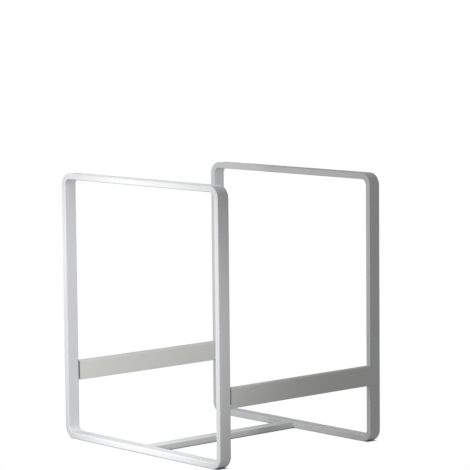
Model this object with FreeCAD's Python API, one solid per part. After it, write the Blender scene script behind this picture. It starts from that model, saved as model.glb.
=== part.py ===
import FreeCAD, Part
import os

# Upright rack of flat steel strip. Two rectangular loops stand one behind the other, joined by
# a rail on edge at each side and by a flat spine between their bottom bars.
# Millimetres. X runs to the right, Y to the rear and Z up, from under the middle of the rack.

# Overall size
rack_width = 160.0
rack_depth = 142.0
rack_height = 180.0

# Flat strip, one gauge for every bar, with its long edges rounded
strip_thickness = 4.0
strip_edge_radius = 0.5

# End loops, bent the easy way from one length of strip
loop_strip_width = 9.0
bend_inner_radius = 4.0

# Side rails, strip standing on edge, flush with the loops' outer faces
rail_height = 13.5
rail_bottom = 38.5

# Base spine, strip lying flat, level with the loops' bottom bars
spine_width = 9.0

# Seam that closes each loop, in the middle of its bottom bar
seam_top_width = 1.2
seam_underside_width = 3.0

# Butt welds at the ends of the rails and of the spine
rail_weld_length = 0.9
rail_weld_corner_radius = 1.8
front_weld_flush_height = 2.5
front_weld_recess = 1.3
spine_weld_length = 1.2
spine_weld_corner_radius = 2.5

# Places that follow from the sizes
outer_x = rack_width / 2
inner_x = outer_x - strip_thickness
front_face_y = -rack_depth / 2
loop_inner_y = rack_depth / 2 - loop_strip_width
rail_top = rail_bottom + rail_height
bend_outer_radius = bend_inner_radius + strip_thickness

X = FreeCAD.Vector(1, 0, 0)
Y = FreeCAD.Vector(0, 1, 0)
Z = FreeCAD.Vector(0, 0, 1)
MIDDLE = FreeCAD.Vector(0, 0, 0)


def block(low, high):
    """Box between two corners."""
    size = [b - a for a, b in zip(low, high)]
    return Part.makeBox(*size, FreeCAD.Vector(*low))


def strip_length(low, high):
    """Straight strip along Y between two corners, with its four long edges rounded."""
    bar = block(low, high)
    long_edges = [edge for edge in bar.Edges if abs(edge.tangentAt(edge.FirstParameter).y) > 0.5]
    return bar.makeFillet(strip_edge_radius, long_edges)


def rounded_outline(half_width, bottom, top, radius):
    """Rectangle with round corners, upright in the plane of the front loop's front face."""
    turn = radius * (1 - 2 ** -0.5)

    def at(x, z):
        return FreeCAD.Vector(x, front_face_y, z)

    right, left = half_width, -half_width
    sides = [
        Part.LineSegment(at(left + radius, bottom), at(right - radius, bottom)),
        Part.Arc(at(right - radius, bottom), at(right - turn, bottom + turn), at(right, bottom + radius)),
        Part.LineSegment(at(right, bottom + radius), at(right, top - radius)),
        Part.Arc(at(right, top - radius), at(right - turn, top - turn), at(right - radius, top)),
        Part.LineSegment(at(right - radius, top), at(left + radius, top)),
        Part.Arc(at(left + radius, top), at(left + turn, top - turn), at(left, top - radius)),
        Part.LineSegment(at(left, top - radius), at(left, bottom + radius)),
        Part.Arc(at(left, bottom + radius), at(left + turn, bottom + turn), at(left + radius, bottom)),
    ]
    return Part.Wire([side.toShape() for side in sides])


def closed_loop():
    """Front loop as if in one piece, before its seam is cut."""
    outside = rounded_outline(outer_x, 0, rack_height, bend_outer_radius)
    inside = rounded_outline(inner_x, strip_thickness, rack_height - strip_thickness, bend_inner_radius)
    ring = Part.makeFace([outside, inside], "Part::FaceMakerBullseye").extrude(Y * loop_strip_width)
    rims = [edge for edge in ring.Edges if edge.BoundBox.YLength < strip_edge_radius / 2]
    return ring.makeFillet(strip_edge_radius, rims)


def seam_groove():
    """Wedge across the front loop's bottom bar, wider on the underside."""
    half_top = seam_top_width / 2
    half_underside = seam_underside_width / 2
    corners = [
        FreeCAD.Vector(-half_underside, front_face_y, 0),
        FreeCAD.Vector(half_underside, front_face_y, 0),
        FreeCAD.Vector(half_top, front_face_y, strip_thickness),
        FreeCAD.Vector(-half_top, front_face_y, strip_thickness),
    ]
    outline = Part.makePolygon(corners + corners[:1])
    return Part.Face(outline).extrude(Y * loop_strip_width)


def corner_bead(corner, along_loop, along_bar, radius, sweep):
    """Hollow bead in the corner between a loop's edge and the bar that ends on it."""
    foot = corner + along_loop * radius
    toe = corner + along_bar * radius
    hollow = corner + (along_loop + along_bar) * (radius * (1 - 2 ** -0.5))
    curve = Part.Arc(foot, hollow, toe).toShape()
    outline = Part.Wire([Part.makeLine(corner, foot), curve, Part.makeLine(toe, corner)])
    return Part.Face(outline).extrude(sweep)


def rail_bead(flush_height):
    """Weld between the front right post and the right rail, flush up to a height and recessed above it."""
    joint_y = -loop_inner_y
    end_y = joint_y + rail_weld_length
    low = (inner_x, joint_y - strip_edge_radius, rail_bottom)
    flush = strip_length(low, (outer_x, end_y, rail_top))
    flush = flush.common(block(low, (outer_x, end_y, rail_bottom + flush_height)))
    recessed = block(
        (inner_x + front_weld_recess, joint_y, rail_bottom + strip_edge_radius),
        (outer_x - front_weld_recess, end_y, rail_top - strip_edge_radius))
    under = corner_bead(
        FreeCAD.Vector(inner_x + strip_edge_radius, joint_y, rail_bottom), -Z, Y,
        rail_weld_corner_radius, X * (strip_thickness - 2 * strip_edge_radius))
    return flush.fuse([recessed, under]).cut(front_ring).removeSplitter()


def spine_bead():
    """Weld between the front loop's bottom bar and the front end of the spine."""
    joint_y = -loop_inner_y
    half_width = spine_width / 2
    root = strip_length(
        (-half_width, joint_y - strip_edge_radius, 0),
        (half_width, joint_y + spine_weld_length, strip_thickness))
    sweep = Z * (strip_thickness - 2 * strip_edge_radius)
    corners = [corner_bead(
        FreeCAD.Vector(side * half_width, joint_y, strip_edge_radius), X * side, Y,
        spine_weld_corner_radius, sweep) for side in (-1, 1)]
    return root.fuse(corners).cut(front_ring).removeSplitter()


# Loops and the seams that close them
front_ring = closed_loop()
groove = seam_groove()
front_frame = front_ring.cut(groove)
front_frame_seam_weld = front_ring.common(groove)

# Bars that join the loops
rail_end_y = loop_inner_y - rail_weld_length
right_rail = strip_length((inner_x, -rail_end_y, rail_bottom), (outer_x, rail_end_y, rail_top))
spine_end_y = loop_inner_y - spine_weld_length
base_spine = strip_length(
    (-spine_width / 2, -spine_end_y, 0), (spine_width / 2, spine_end_y, strip_thickness))

# Welds at their ends: flush only low down at the front of a rail, and all the way up at the rear
right_rail_front_weld = rail_bead(front_weld_flush_height)
right_rail_rear_weld = rail_bead(rail_height).mirror(MIDDLE, Y)
base_spine_front_weld = spine_bead()

nodes = {
    "front_frame": front_frame,
    "rear_frame": front_frame.mirror(MIDDLE, Y),
    "front_frame_seam_weld": front_frame_seam_weld,
    "rear_frame_seam_weld": front_frame_seam_weld.mirror(MIDDLE, Y),
    "right_rail": right_rail,
    "left_rail": right_rail.mirror(MIDDLE, X),
    "base_spine": base_spine,
    "right_rail_front_weld": right_rail_front_weld,
    "right_rail_rear_weld": right_rail_rear_weld,
    "left_rail_front_weld": right_rail_front_weld.mirror(MIDDLE, X),
    "left_rail_rear_weld": right_rail_rear_weld.mirror(MIDDLE, X),
    "base_spine_front_weld": base_spine_front_weld,
    "base_spine_rear_weld": base_spine_front_weld.mirror(MIDDLE, Y),
}

os.makedirs("parts", exist_ok=True)
for name, shape in nodes.items():
    solids = shape.Solids
    print(name, "solids", len(solids), "valid", shape.isValid(), "volume", round(shape.Volume, 3))
    Part.Compound(solids).exportStep(f"parts/{name}.step")
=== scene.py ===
import math

import bmesh
import bpy
from mathutils import Matrix, Vector


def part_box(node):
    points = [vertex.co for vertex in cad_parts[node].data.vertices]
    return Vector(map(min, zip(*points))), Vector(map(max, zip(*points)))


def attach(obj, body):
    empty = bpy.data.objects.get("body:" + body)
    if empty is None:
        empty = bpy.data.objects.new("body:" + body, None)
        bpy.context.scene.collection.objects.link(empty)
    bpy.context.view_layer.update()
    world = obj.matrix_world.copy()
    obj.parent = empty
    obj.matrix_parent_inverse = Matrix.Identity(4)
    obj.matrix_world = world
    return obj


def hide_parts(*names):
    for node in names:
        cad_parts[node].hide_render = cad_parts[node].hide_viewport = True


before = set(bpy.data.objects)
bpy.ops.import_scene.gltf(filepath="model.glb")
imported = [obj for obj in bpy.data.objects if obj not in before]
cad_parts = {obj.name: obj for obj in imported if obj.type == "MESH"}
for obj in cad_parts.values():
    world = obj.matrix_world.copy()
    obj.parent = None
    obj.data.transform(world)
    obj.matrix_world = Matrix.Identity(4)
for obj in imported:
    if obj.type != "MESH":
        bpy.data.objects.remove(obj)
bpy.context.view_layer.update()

# Upright rack of flat steel strip under a white satin powder coat.
# Metres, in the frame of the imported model: X to the right, Y to the rear, Z up.
MM = 0.001
X = Vector((1, 0, 0))
Y = Vector((0, 1, 0))
Z = Vector((0, 0, 1))

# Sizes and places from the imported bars
front_low, front_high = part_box("front_frame")
rail_low, rail_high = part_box("right_rail")
spine_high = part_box("base_spine")[1]
outer_x = front_high.x
rack_height = front_high.z
loop_width = front_high.y - front_low.y
loop_inner_y = -front_high.y
front_middle_y = front_low.y + loop_width / 2
strip_thickness = rail_high.x - rail_low.x
rail_height = rail_high.z - rail_low.z

# Strip as it comes from the mill and from the bender
edge_radius = 0.5 * MM
rail_top_radius = 1.8 * MM
bend_inner_radius = 4.0 * MM
bend_outer_radius = bend_inner_radius + strip_thickness
bend_swell = 0.02
edge_steps = 5
bend_steps = 16

# Closing seam of each loop
seam_half_top = 0.6 * MM
seam_half_underside = 1.5 * MM
seam_crown = 0.012

# Weld runs
weld_step = 0.15 * MM
weld_ripple_pitch = 1.0 * MM
weld_ripple_drift = 1.7
weld_ripple_height = 0.05 * MM
flush_ripple_share = 0.3
weld_crown = 0.03 * MM
weld_sink = 2.0 * MM
weld_bury = 0.4 * MM
weld_rounding = 0.35 * MM
bead_half = 1.4 * MM
rail_weld_recess = 1.3 * MM
rail_weld_run_out = 1.0 * MM
rail_weld_corner = 1.8 * MM
right_weld_flush_height = 2.2 * MM
left_weld_flush_height = 0.6 * MM
spine_weld_corner = 2.5 * MM

# Grooves over the front welds, darkened more or less with painted shade
painted_groove_shade_run = 0.12 * MM
right_painted_groove_shade = 0.4
left_painted_groove_shade = 0.9

# Colours of the coat, a little warmer on the rails, and of the painted shade in the grooves
cool_white = (0.80, 0.805, 0.815)
warm_white = (0.807, 0.809, 0.780)
thin_film_level = 0.92
painted_groove_shade_colour = (0.16, 0.16, 0.165)

# Texture of the coat: orange peel, fine grain and wide clouds
peel_size = 1.6 * MM
grain_size = 0.35 * MM
cloud_size = 28 * MM
strip_peel_depth = 0.010 * MM
weld_peel_depth = 0.020 * MM
grain_in_peel = 0.25
edge_thinning = 0.5
cloud_thinning = 0.5
grain_thinning = 0.15
coat_roughness = 0.40
cloud_roughness = 0.10
grain_roughness = 0.08
edge_polish = 0.05


class Shade:
    """A socket in a material's node tree. Sums on it add Math nodes."""

    def __init__(self, tree, socket=None):
        self.tree = tree
        self.socket = socket

    def make(self, kind, sockets, output=0, **settings):
        """Adds a node with its settings, then sets or links its sockets, and gives one output."""
        node = self.tree.nodes.new(kind)
        for name, value in settings.items():
            setattr(node, name, value)
        for name, value in sockets.items():
            if isinstance(value, Shade):
                self.tree.links.new(value.socket, node.inputs[name])
            else:
                node.inputs[name].default_value = value
        return Shade(self.tree, node.outputs[output] if node.outputs else None)

    def sum_of(self, operation, *values):
        return self.make("ShaderNodeMath", dict(enumerate(values)), operation=operation)

    def __add__(self, other):
        return self.sum_of("ADD", self, other)

    def __sub__(self, other):
        return self.sum_of("SUBTRACT", self, other)

    def __rsub__(self, other):
        return self.sum_of("SUBTRACT", other, self)

    def __mul__(self, other):
        return self.sum_of("MULTIPLY", self, other)

    __radd__ = __add__
    __rmul__ = __mul__


def new_material(name):
    material = bpy.data.materials.new(name)
    material.use_nodes = True
    material.node_tree.nodes.clear()
    return material, Shade(material.node_tree)


def powder_coat(name, white, peel_depth):
    """White satin powder coat with orange peel, faint clouding and a thinner film on the edges. In the
    narrow grooves over the front welds a dark colour is blended in as painted shade."""
    material, shade = new_material(name)
    place = shade.make("ShaderNodeTexCoord", {}, "Object")
    edge = shade.make("ShaderNodeAttribute", {}, "Fac", attribute_name="edge")
    painted_groove_shade = shade.make("ShaderNodeAttribute", {}, "Fac", attribute_name="painted_groove_shade")

    def noise(size, detail):
        sockets = {"Vector": place, "Scale": 1 / size, "Detail": detail, "Roughness": 0.5}
        return shade.make("ShaderNodeTexNoise", sockets, "Fac") - 0.5

    def blend(share, first, second):
        sockets = {0: share, 6: first, 7: second}
        return shade.make("ShaderNodeMix", sockets, 2, data_type="RGBA", clamp_factor=True)

    peel = noise(peel_size, 1.0)
    grain = noise(grain_size, 2.0)
    cloud = noise(cloud_size, 3.0)
    thin_white = [thin_film_level * part for part in white]
    thin = edge * edge_thinning + cloud * cloud_thinning + grain * grain_thinning
    film = blend(thin, (*white, 1), (*thin_white, 1))
    bump = shade.make("ShaderNodeBump", {
        "Strength": 1.0, "Distance": peel_depth, "Height": peel + grain * grain_in_peel}, "Normal")
    coat = shade.make("ShaderNodeBsdfPrincipled", {
        # Painted shade: a dark colour blended into the grooves over the front welds
        "Base Color": blend(painted_groove_shade, film, (*painted_groove_shade_colour, 1)),
        "Roughness": coat_roughness + cloud * cloud_roughness + grain * grain_roughness - edge * edge_polish,
        "Normal": bump,
        "Specular IOR Level": 0.5})
    shade.make("ShaderNodeOutputMaterial", {"Surface": coat})
    return material


strip_coat = powder_coat("strip_powder_coat", cool_white, strip_peel_depth)
rail_coat = powder_coat("rail_powder_coat", warm_white, strip_peel_depth)
weld_coat = powder_coat("weld_powder_coat", cool_white, weld_peel_depth)


def round_section(bm, centre, across, through, width, thick, radius=edge_radius, top_radius=None):
    """Cross-section of flat strip as one face, with its corners rounded and marked for the thin film.
    The two corners on the through side may have a radius of their own."""
    edge = bm.verts.layers.float.new("edge")
    # Layer for the painted shade in the grooves, set per piece
    bm.verts.layers.float.new("painted_groove_shade")
    half_across = across * (width / 2)
    half_through = through * (thick / 2)
    signs = ((-1, -1), (1, -1), (1, 1), (-1, 1))
    corners = [bm.verts.new(centre + half_across * a + half_through * t) for a, t in signs]
    bm.faces.new(corners)
    for pair, turn in ((corners[:2], radius), (corners[2:], top_radius or radius)):
        rounded = bmesh.ops.bevel(
            bm, geom=pair, offset=turn, offset_type="OFFSET", segments=edge_steps,
            profile=0.5, affect="VERTICES", material=-1)["verts"]
        for vert in rounded:
            place = vert.co - centre
            u = (abs(place.dot(across)) - width / 2) / turn + 1
            v = (abs(place.dot(through)) - thick / 2) / turn + 1
            vert[edge] = 2 * max(u, 0) * max(v, 0) * edge_radius / max(turn, edge_radius)
    return rounded[0].link_faces[0]


def whole(face):
    return [face, *face.edges, *face.verts]


def only(kind, geometry):
    return [item for item in geometry if isinstance(item, kind)]


def push_on(bm, end, move):
    """Lengthens a bar from its end face by a straight run, and gives the new end face."""
    made = bmesh.ops.extrude_face_region(bm, geom=whole(end))["geom"]
    bmesh.ops.translate(bm, verts=only(bmesh.types.BMVert, made), vec=move)
    return only(bmesh.types.BMFace, made)[0]


def bend_on(bm, end, centre):
    """Carries a bar round a quarter bend about an axis along Y, and gives the new end face."""
    made = bmesh.ops.spin(
        bm, geom=whole(end), cent=centre, axis=-Y, dvec=(0, 0, 0),
        angle=math.pi / 2, steps=bend_steps, use_merge=False, use_duplicate=False)["geom_last"]
    return only(bmesh.types.BMFace, made)[0]


def mark_painted_groove_shade(bm, end, share):
    """Sets how much painted shade darkens the end of a piece."""
    painted_groove_shade = bm.verts.layers.float["painted_groove_shade"]
    for vert in end.verts:
        vert[painted_groove_shade] = share


def sharpen(face):
    for edge in face.edges:
        edge.smooth = False


def new_object(name, bm, material):
    mesh = bpy.data.meshes.new(name)
    bm.to_mesh(mesh)
    bm.free()
    mesh.materials.append(material)
    made = bpy.data.objects.new(name, mesh)
    bpy.context.scene.collection.objects.link(made)
    return made


def place_piece(name, bm, node, material):
    """Finishes a modelled piece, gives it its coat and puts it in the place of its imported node."""
    bmesh.ops.recalc_face_normals(bm, faces=bm.faces[:])
    for face in bm.faces:
        face.smooth = True
    piece = new_object(name, bm, material)
    piece.modifiers.new("flat_sides", "WEIGHTED_NORMAL").keep_sharp = True
    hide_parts(node)
    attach(piece, "root")


def swell_bends(bm, centres, middle_y):
    """Inside each bend the strip spreads sideways a little, and outside it draws in."""
    middle_radius = bend_inner_radius + strip_thickness / 2
    for vert in bm.verts:
        for centre in centres:
            out_x = (vert.co.x - centre.x) * math.copysign(1, centre.x)
            out_z = (vert.co.z - centre.z) * math.copysign(1, centre.z - rack_height / 2)
            if out_x <= 0 or out_z <= 0:
                continue
            depth = (middle_radius - math.hypot(out_x, out_z)) / (strip_thickness / 2)
            turn = math.sin(2 * math.atan2(out_z, out_x))
            vert.co.y += (vert.co.y - middle_y) * bend_swell * depth * turn


def seam_edge(z):
    """Half the width of a loop's seam at a height in the bottom bar."""
    return seam_half_underside + (seam_half_top - seam_half_underside) * z / strip_thickness


def frame_loop(name, middle_y, node):
    """Strip bent the easy way into an upright loop, from one side of its seam round to the other."""
    bm = bmesh.new()
    seam = (seam_half_top + seam_half_underside) / 2
    reach = outer_x - bend_outer_radius
    low = bend_outer_radius
    high = rack_height - bend_outer_radius
    corners = ((reach, low), (reach, high), (-reach, high), (-reach, low))
    centres = [Vector((x, middle_y, z)) for x, z in corners]
    runs = (X * (reach - seam), Z * (high - low), X * (-2 * reach), Z * (low - high))
    start = Vector((seam, middle_y, strip_thickness / 2))
    first = round_section(bm, start, Y, Z, loop_width, strip_thickness)
    last = first
    for run, centre in zip(runs, centres):
        last = push_on(bm, last, run)
        last = bend_on(bm, last, centre)
    last = push_on(bm, last, runs[0])
    swell_bends(bm, centres, middle_y)
    for end in (first, last):
        sharpen(end)
        for vert in end.verts:
            vert.co.x = math.copysign(seam_edge(vert.co.z), vert.co.x)
    place_piece(name, bm, node, strip_coat)


def seam_weld(name, middle_y, node):
    """Weld that fills a loop's seam, dressed to a slight crown above its flat underside."""
    bm = bmesh.new()
    foot = Vector((0, middle_y, 0))
    crown = Vector((1, 1 + seam_crown, 1 + seam_crown))
    flat = Vector((1, 1 / crown.y, 1 / crown.z))
    start = foot + Z * (strip_thickness / 2) - X * seam_half_top
    end = round_section(bm, start, Y, Z, loop_width, strip_thickness)
    sharpen(end)
    for shape in (crown, flat):
        end = push_on(bm, end, X * seam_half_top)
        bmesh.ops.scale(bm, verts=end.verts[:], vec=shape, space=Matrix.Translation(-foot))
    sharpen(end)
    for vert in bm.verts:
        vert.co.x *= seam_edge(vert.co.z) / seam_half_top
    place_piece(name, bm, node, weld_coat)


def straight_bar(name, node, coat, painted_groove_shade=0, top_radius=None):
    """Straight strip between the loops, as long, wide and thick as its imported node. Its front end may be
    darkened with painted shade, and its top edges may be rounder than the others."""
    low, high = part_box(node)
    bm = bmesh.new()
    size = high - low
    middle = (low + high) / 2
    start = Vector((middle.x, low.y, middle.z))
    end = round_section(bm, start, X, Z, size.x, size.z, top_radius=top_radius)
    sharpen(end)
    mark_painted_groove_shade(bm, end, painted_groove_shade)
    end = push_on(bm, end, Y * painted_groove_shade_run)
    mark_painted_groove_shade(bm, end, 0)
    sharpen(push_on(bm, end, Y * (size.y - painted_groove_shade_run)))
    place_piece(name, bm, node, coat)


def half_thickness(depth, radius=edge_radius):
    """Half the strip's thickness at a depth in from a rounded narrow side."""
    inside = max(radius - depth, 0)
    return strip_thickness / 2 - radius + math.sqrt(radius ** 2 - inside ** 2)


def hollow_reach(radius, distance):
    """How far a hollow bead stands out from the loop at a distance from the corner that it fills."""
    return radius - math.sqrt(radius ** 2 - (radius - distance) ** 2)


def ripple(place):
    """Height of the weld's ripples at a place along its run, unevenly spaced as a hand weld's are."""
    turns = place / weld_ripple_pitch
    return weld_ripple_height * math.sin(2 * math.pi * turns + math.sin(weld_ripple_drift * turns))


def ease(share):
    share = min(max(share, 0), 1)
    return share * share * (3 - 2 * share)


def weld_run(name, corner, along, out, through, start, finish, profile, node):
    """Weld laid along a joint from start to finish. Its profile gives, at each place, how far it reaches
    out from the loop, half its thickness and how much painted shade darkens it."""
    bm = bmesh.new()
    root = corner - out * weld_sink
    reach, half, painted_groove_shade = profile(start)
    depth = weld_sink + reach
    middle = root + along * start + out * (depth / 2)
    end = round_section(bm, middle, out, through, depth, 2 * half, weld_rounding)
    mark_painted_groove_shade(bm, end, painted_groove_shade)
    sharpen(end)
    steps = round((finish - start) / weld_step)
    for step in range(1, steps + 1):
        last_depth, last_half = depth, half
        reach, half, painted_groove_shade = profile(start + (finish - start) * step / steps)
        depth = weld_sink + reach
        growth = along + Y * (depth / last_depth) + through * (half / last_half)
        end = push_on(bm, end, along * ((finish - start) / steps))
        bmesh.ops.scale(bm, verts=end.verts[:], vec=growth, space=Matrix.Translation(-root))
        mark_painted_groove_shade(bm, end, painted_groove_shade)
    sharpen(end)
    place_piece(name, bm, node, weld_coat)


def rail_weld(name, side, out, flush_height, painted_groove_shade, node):
    """Weld between a post and the end of a rail, with a hollow bead under the rail. Above its flush
    foot it is sunk between the two, and darkened to some degree with painted shade."""
    corner = Vector((side * (outer_x - strip_thickness / 2), -out.y * loop_inner_y, rail_low.z))
    gap = loop_inner_y - rail_high.y
    sunk_half = strip_thickness / 2 - rail_weld_recess
    top = rail_height if flush_height >= rail_height else rail_height - edge_radius

    def profile(place):
        if place < weld_bury:
            return hollow_reach(rail_weld_corner, max(-place, 0)), bead_half + ripple(place), 0
        flush = min(half_thickness(place), half_thickness(rail_height - place, rail_top_radius)) + weld_crown
        sunk = ease((place - flush_height) / rail_weld_run_out)
        half = flush + (sunk_half - flush) * sunk
        ripple_share = flush_ripple_share + (1 - flush_ripple_share) * sunk
        return gap + weld_bury, half + ripple(place) * ripple_share, sunk * painted_groove_shade

    weld_run(name, corner, Z, out, X, -rail_weld_corner, top, profile, node)


def spine_weld(name, out, node):
    """Weld between a loop's bottom bar and the end of the spine, with a hollow bead at each side."""
    corner = Vector((0, -out.y * loop_inner_y, strip_thickness / 2 + weld_crown))
    half_width = spine_high.x
    gap = loop_inner_y - spine_high.y
    reach = half_width + spine_weld_corner

    def profile(place):
        beyond = abs(place) - half_width
        if beyond > -weld_bury:
            return hollow_reach(spine_weld_corner, max(beyond, 0)), bead_half + ripple(place), 0
        return gap + weld_bury, half_thickness(-beyond) + ripple(place) * flush_ripple_share, 0

    weld_run(name, corner, X, out, Z, -reach, reach, profile, node)


# Loops and the seams that close them
frame_loop("front_frame_strip", front_middle_y, "front_frame")
frame_loop("rear_frame_strip", -front_middle_y, "rear_frame")
seam_weld("front_seam_bead", front_middle_y, "front_frame_seam_weld")
seam_weld("rear_seam_bead", -front_middle_y, "rear_frame_seam_weld")

# Bars that join the loops
# The rails' front ends carry painted shade where they stand in the grooves at the front posts
straight_bar("right_rail_strip", "right_rail", rail_coat, right_painted_groove_shade, rail_top_radius)
straight_bar("left_rail_strip", "left_rail", rail_coat, left_painted_groove_shade, rail_top_radius)
straight_bar("base_spine_strip", "base_spine", strip_coat)

# Welds at their ends: flush only low down at the front of a rail, and all the way up at the rear
# The front welds are darkened with painted shade above their flush feet
rail_weld(
    "right_rail_front_bead", 1, Y, right_weld_flush_height, right_painted_groove_shade, "right_rail_front_weld")
rail_weld(
    "left_rail_front_bead", -1, Y, left_weld_flush_height, left_painted_groove_shade, "left_rail_front_weld")
rail_weld("right_rail_rear_bead", 1, -Y, rail_height, 0, "right_rail_rear_weld")
rail_weld("left_rail_rear_bead", -1, -Y, rail_height, 0, "left_rail_rear_weld")
spine_weld("spine_front_bead", Y, "base_spine_front_weld")
spine_weld("spine_rear_bead", -Y, "base_spine_rear_weld")

# Pale floor and surround, with no edge in sight. To the rack the floor is no brighter than the room.
room_level = 0.247
# Painted contact shadow on the floor: its reach, its darkness, and the way toward the key light
contact_reach = 2 * MM
contact_level = 0.05
contact_closed = 0.25
contact_open = 0.95
key_way = (-0.5, -0.5, 0.7)
floor_drop = 0.02 * MM
surround_reach = 6.0

floor_paint, shade = new_material("pale_floor")
# Painted contact shadow: the floor's glow is dimmed where the rack closes it off toward the key light
to_key = shade.make("ShaderNodeCombineXYZ", dict(zip("XYZ", key_way)))
open_to_key = shade.make(
    "ShaderNodeAmbientOcclusion", {"Distance": contact_reach, "Normal": to_key}, "AO", samples=16)
painted_contact_shadow = shade.make("ShaderNodeMapRange", {
    "Value": open_to_key, "From Min": contact_closed, "From Max": contact_open, "To Min": contact_level})
seen = shade.make("ShaderNodeLightPath", {}, "Is Camera Ray")
level = (seen + (1 - seen) * room_level) * painted_contact_shadow
glow = shade.make("ShaderNodeEmission", {"Color": level, "Strength": 1.0})
shade.make("ShaderNodeOutputMaterial", {"Surface": glow})
floor_paint.cycles.emission_sampling = "NONE"
bm = bmesh.new()
bmesh.ops.create_circle(bm, cap_ends=True, segments=64, radius=surround_reach)
bmesh.ops.translate(bm, verts=bm.verts[:], vec=Z * -floor_drop)
floor = new_object("floor", bm, floor_paint)

surround_paint, shade = new_material("pale_surround")
glow = shade.make("ShaderNodeEmission", {"Color": (1, 1, 1, 1), "Strength": 1.0})
shade.make("ShaderNodeOutputMaterial", {"Surface": glow})
bm = bmesh.new()
bmesh.ops.create_uvsphere(bm, u_segments=48, v_segments=24, radius=surround_reach)
surround = new_object("surround", bm, surround_paint)
surround.visible_diffuse = False
surround.visible_glossy = False
surround.visible_transmission = False
surround.visible_volume_scatter = False
surround.visible_shadow = False

# Camera where the photograph was taken from
camera_place = Vector((1.20528, -1.05151, 0.30774))
camera_turn = math.radians(48.532)
camera_tilt = math.radians(-6.048)
camera_roll = math.radians(-0.545)
camera_data = bpy.data.cameras.new("camera")
camera_data.sensor_width = 36.0
camera_data.lens = 184.17
camera = bpy.data.objects.new("camera", camera_data)
camera.matrix_world = (
    Matrix.Translation(camera_place) @ Matrix.Rotation(camera_turn, 4, "Z")
    @ Matrix.Rotation(math.pi / 2 + camera_tilt, 4, "X") @ Matrix.Rotation(camera_roll, 4, "Z"))
bpy.context.scene.collection.objects.link(camera)
bpy.context.scene.camera = camera

# Soft studio light: a dim room, softboxes above, behind and at the left, and soft lamps round the front loop
world = bpy.data.worlds.new("studio")
bpy.context.scene.world = world
world.use_nodes = True
world.node_tree.nodes.clear()
shade = Shade(world.node_tree)
room = shade.make("ShaderNodeBackground", {"Color": (1, 1, 1, 1), "Strength": room_level})
shade.make("ShaderNodeOutputWorld", {"Surface": room})
world.cycles.sampling_method = "NONE"


def place_light(data, azimuth, elevation, distance, target):
    """Aims a light at a point of the rack. Azimuth 0 is in front of the rack, and 90 at its right."""
    turn = math.radians(azimuth)
    rise = math.radians(elevation)
    way = Vector((math.sin(turn) * math.cos(rise), -math.cos(turn) * math.cos(rise), math.sin(rise)))
    light = bpy.data.objects.new(data.name, data)
    light.location = Vector(target) + way * distance
    light.rotation_euler = (-way).to_track_quat("-Z", "Y").to_euler()
    light.visible_camera = False
    bpy.context.scene.collection.objects.link(light)


def softbox(name, size, radiance, **place):
    """Square softbox, which spreads its light all round."""
    data = bpy.data.lights.new(name, "AREA")
    data.size = size
    data.energy = radiance * math.pi * size ** 2
    place_light(data, **place)


def soft_lamp(name, radius, intensity, **place):
    """Round lamp with a soft cone, which leaves the rear of the rack darker than a softbox would."""
    data = bpy.data.lights.new(name, "SPOT")
    data.energy = intensity * 4 * math.pi
    data.shadow_soft_size = radius
    data.spot_size = lamp_cone
    data.spot_blend = 1.0
    place_light(data, **place)


lamp_cone = math.radians(34)
rack_middle = (0, 0, rack_height / 2)
softbox("top_box", 0.16, 4.0, azimuth=345, elevation=65, distance=0.35, target=(0, -0.05, 0.02))
softbox("rear_box", 0.30, 1.8, azimuth=180, elevation=5, distance=0.50, target=rack_middle)
softbox("left_fill_box", 0.30, 0.8, azimuth=270, elevation=5, distance=0.50, target=rack_middle)
softbox("top_edge_box", 0.16, 1.5, azimuth=233, elevation=9, distance=0.60, target=(0.06, -0.06, 0.20))
soft_lamp("low_front_lamp", 0.03, 0.22, azimuth=345, elevation=45, distance=0.35, target=(0, -0.09, 0))
soft_lamp("left_lamp", 0.03, 0.385, azimuth=300, elevation=5, distance=0.50, target=(0, -0.14, 0.09))
soft_lamp("right_lamp", 0.035, 0.63, azimuth=45, elevation=5, distance=0.50, target=(0, -0.12, 0.08))
bpy.context.scene.view_settings.view_transform = "Standard"
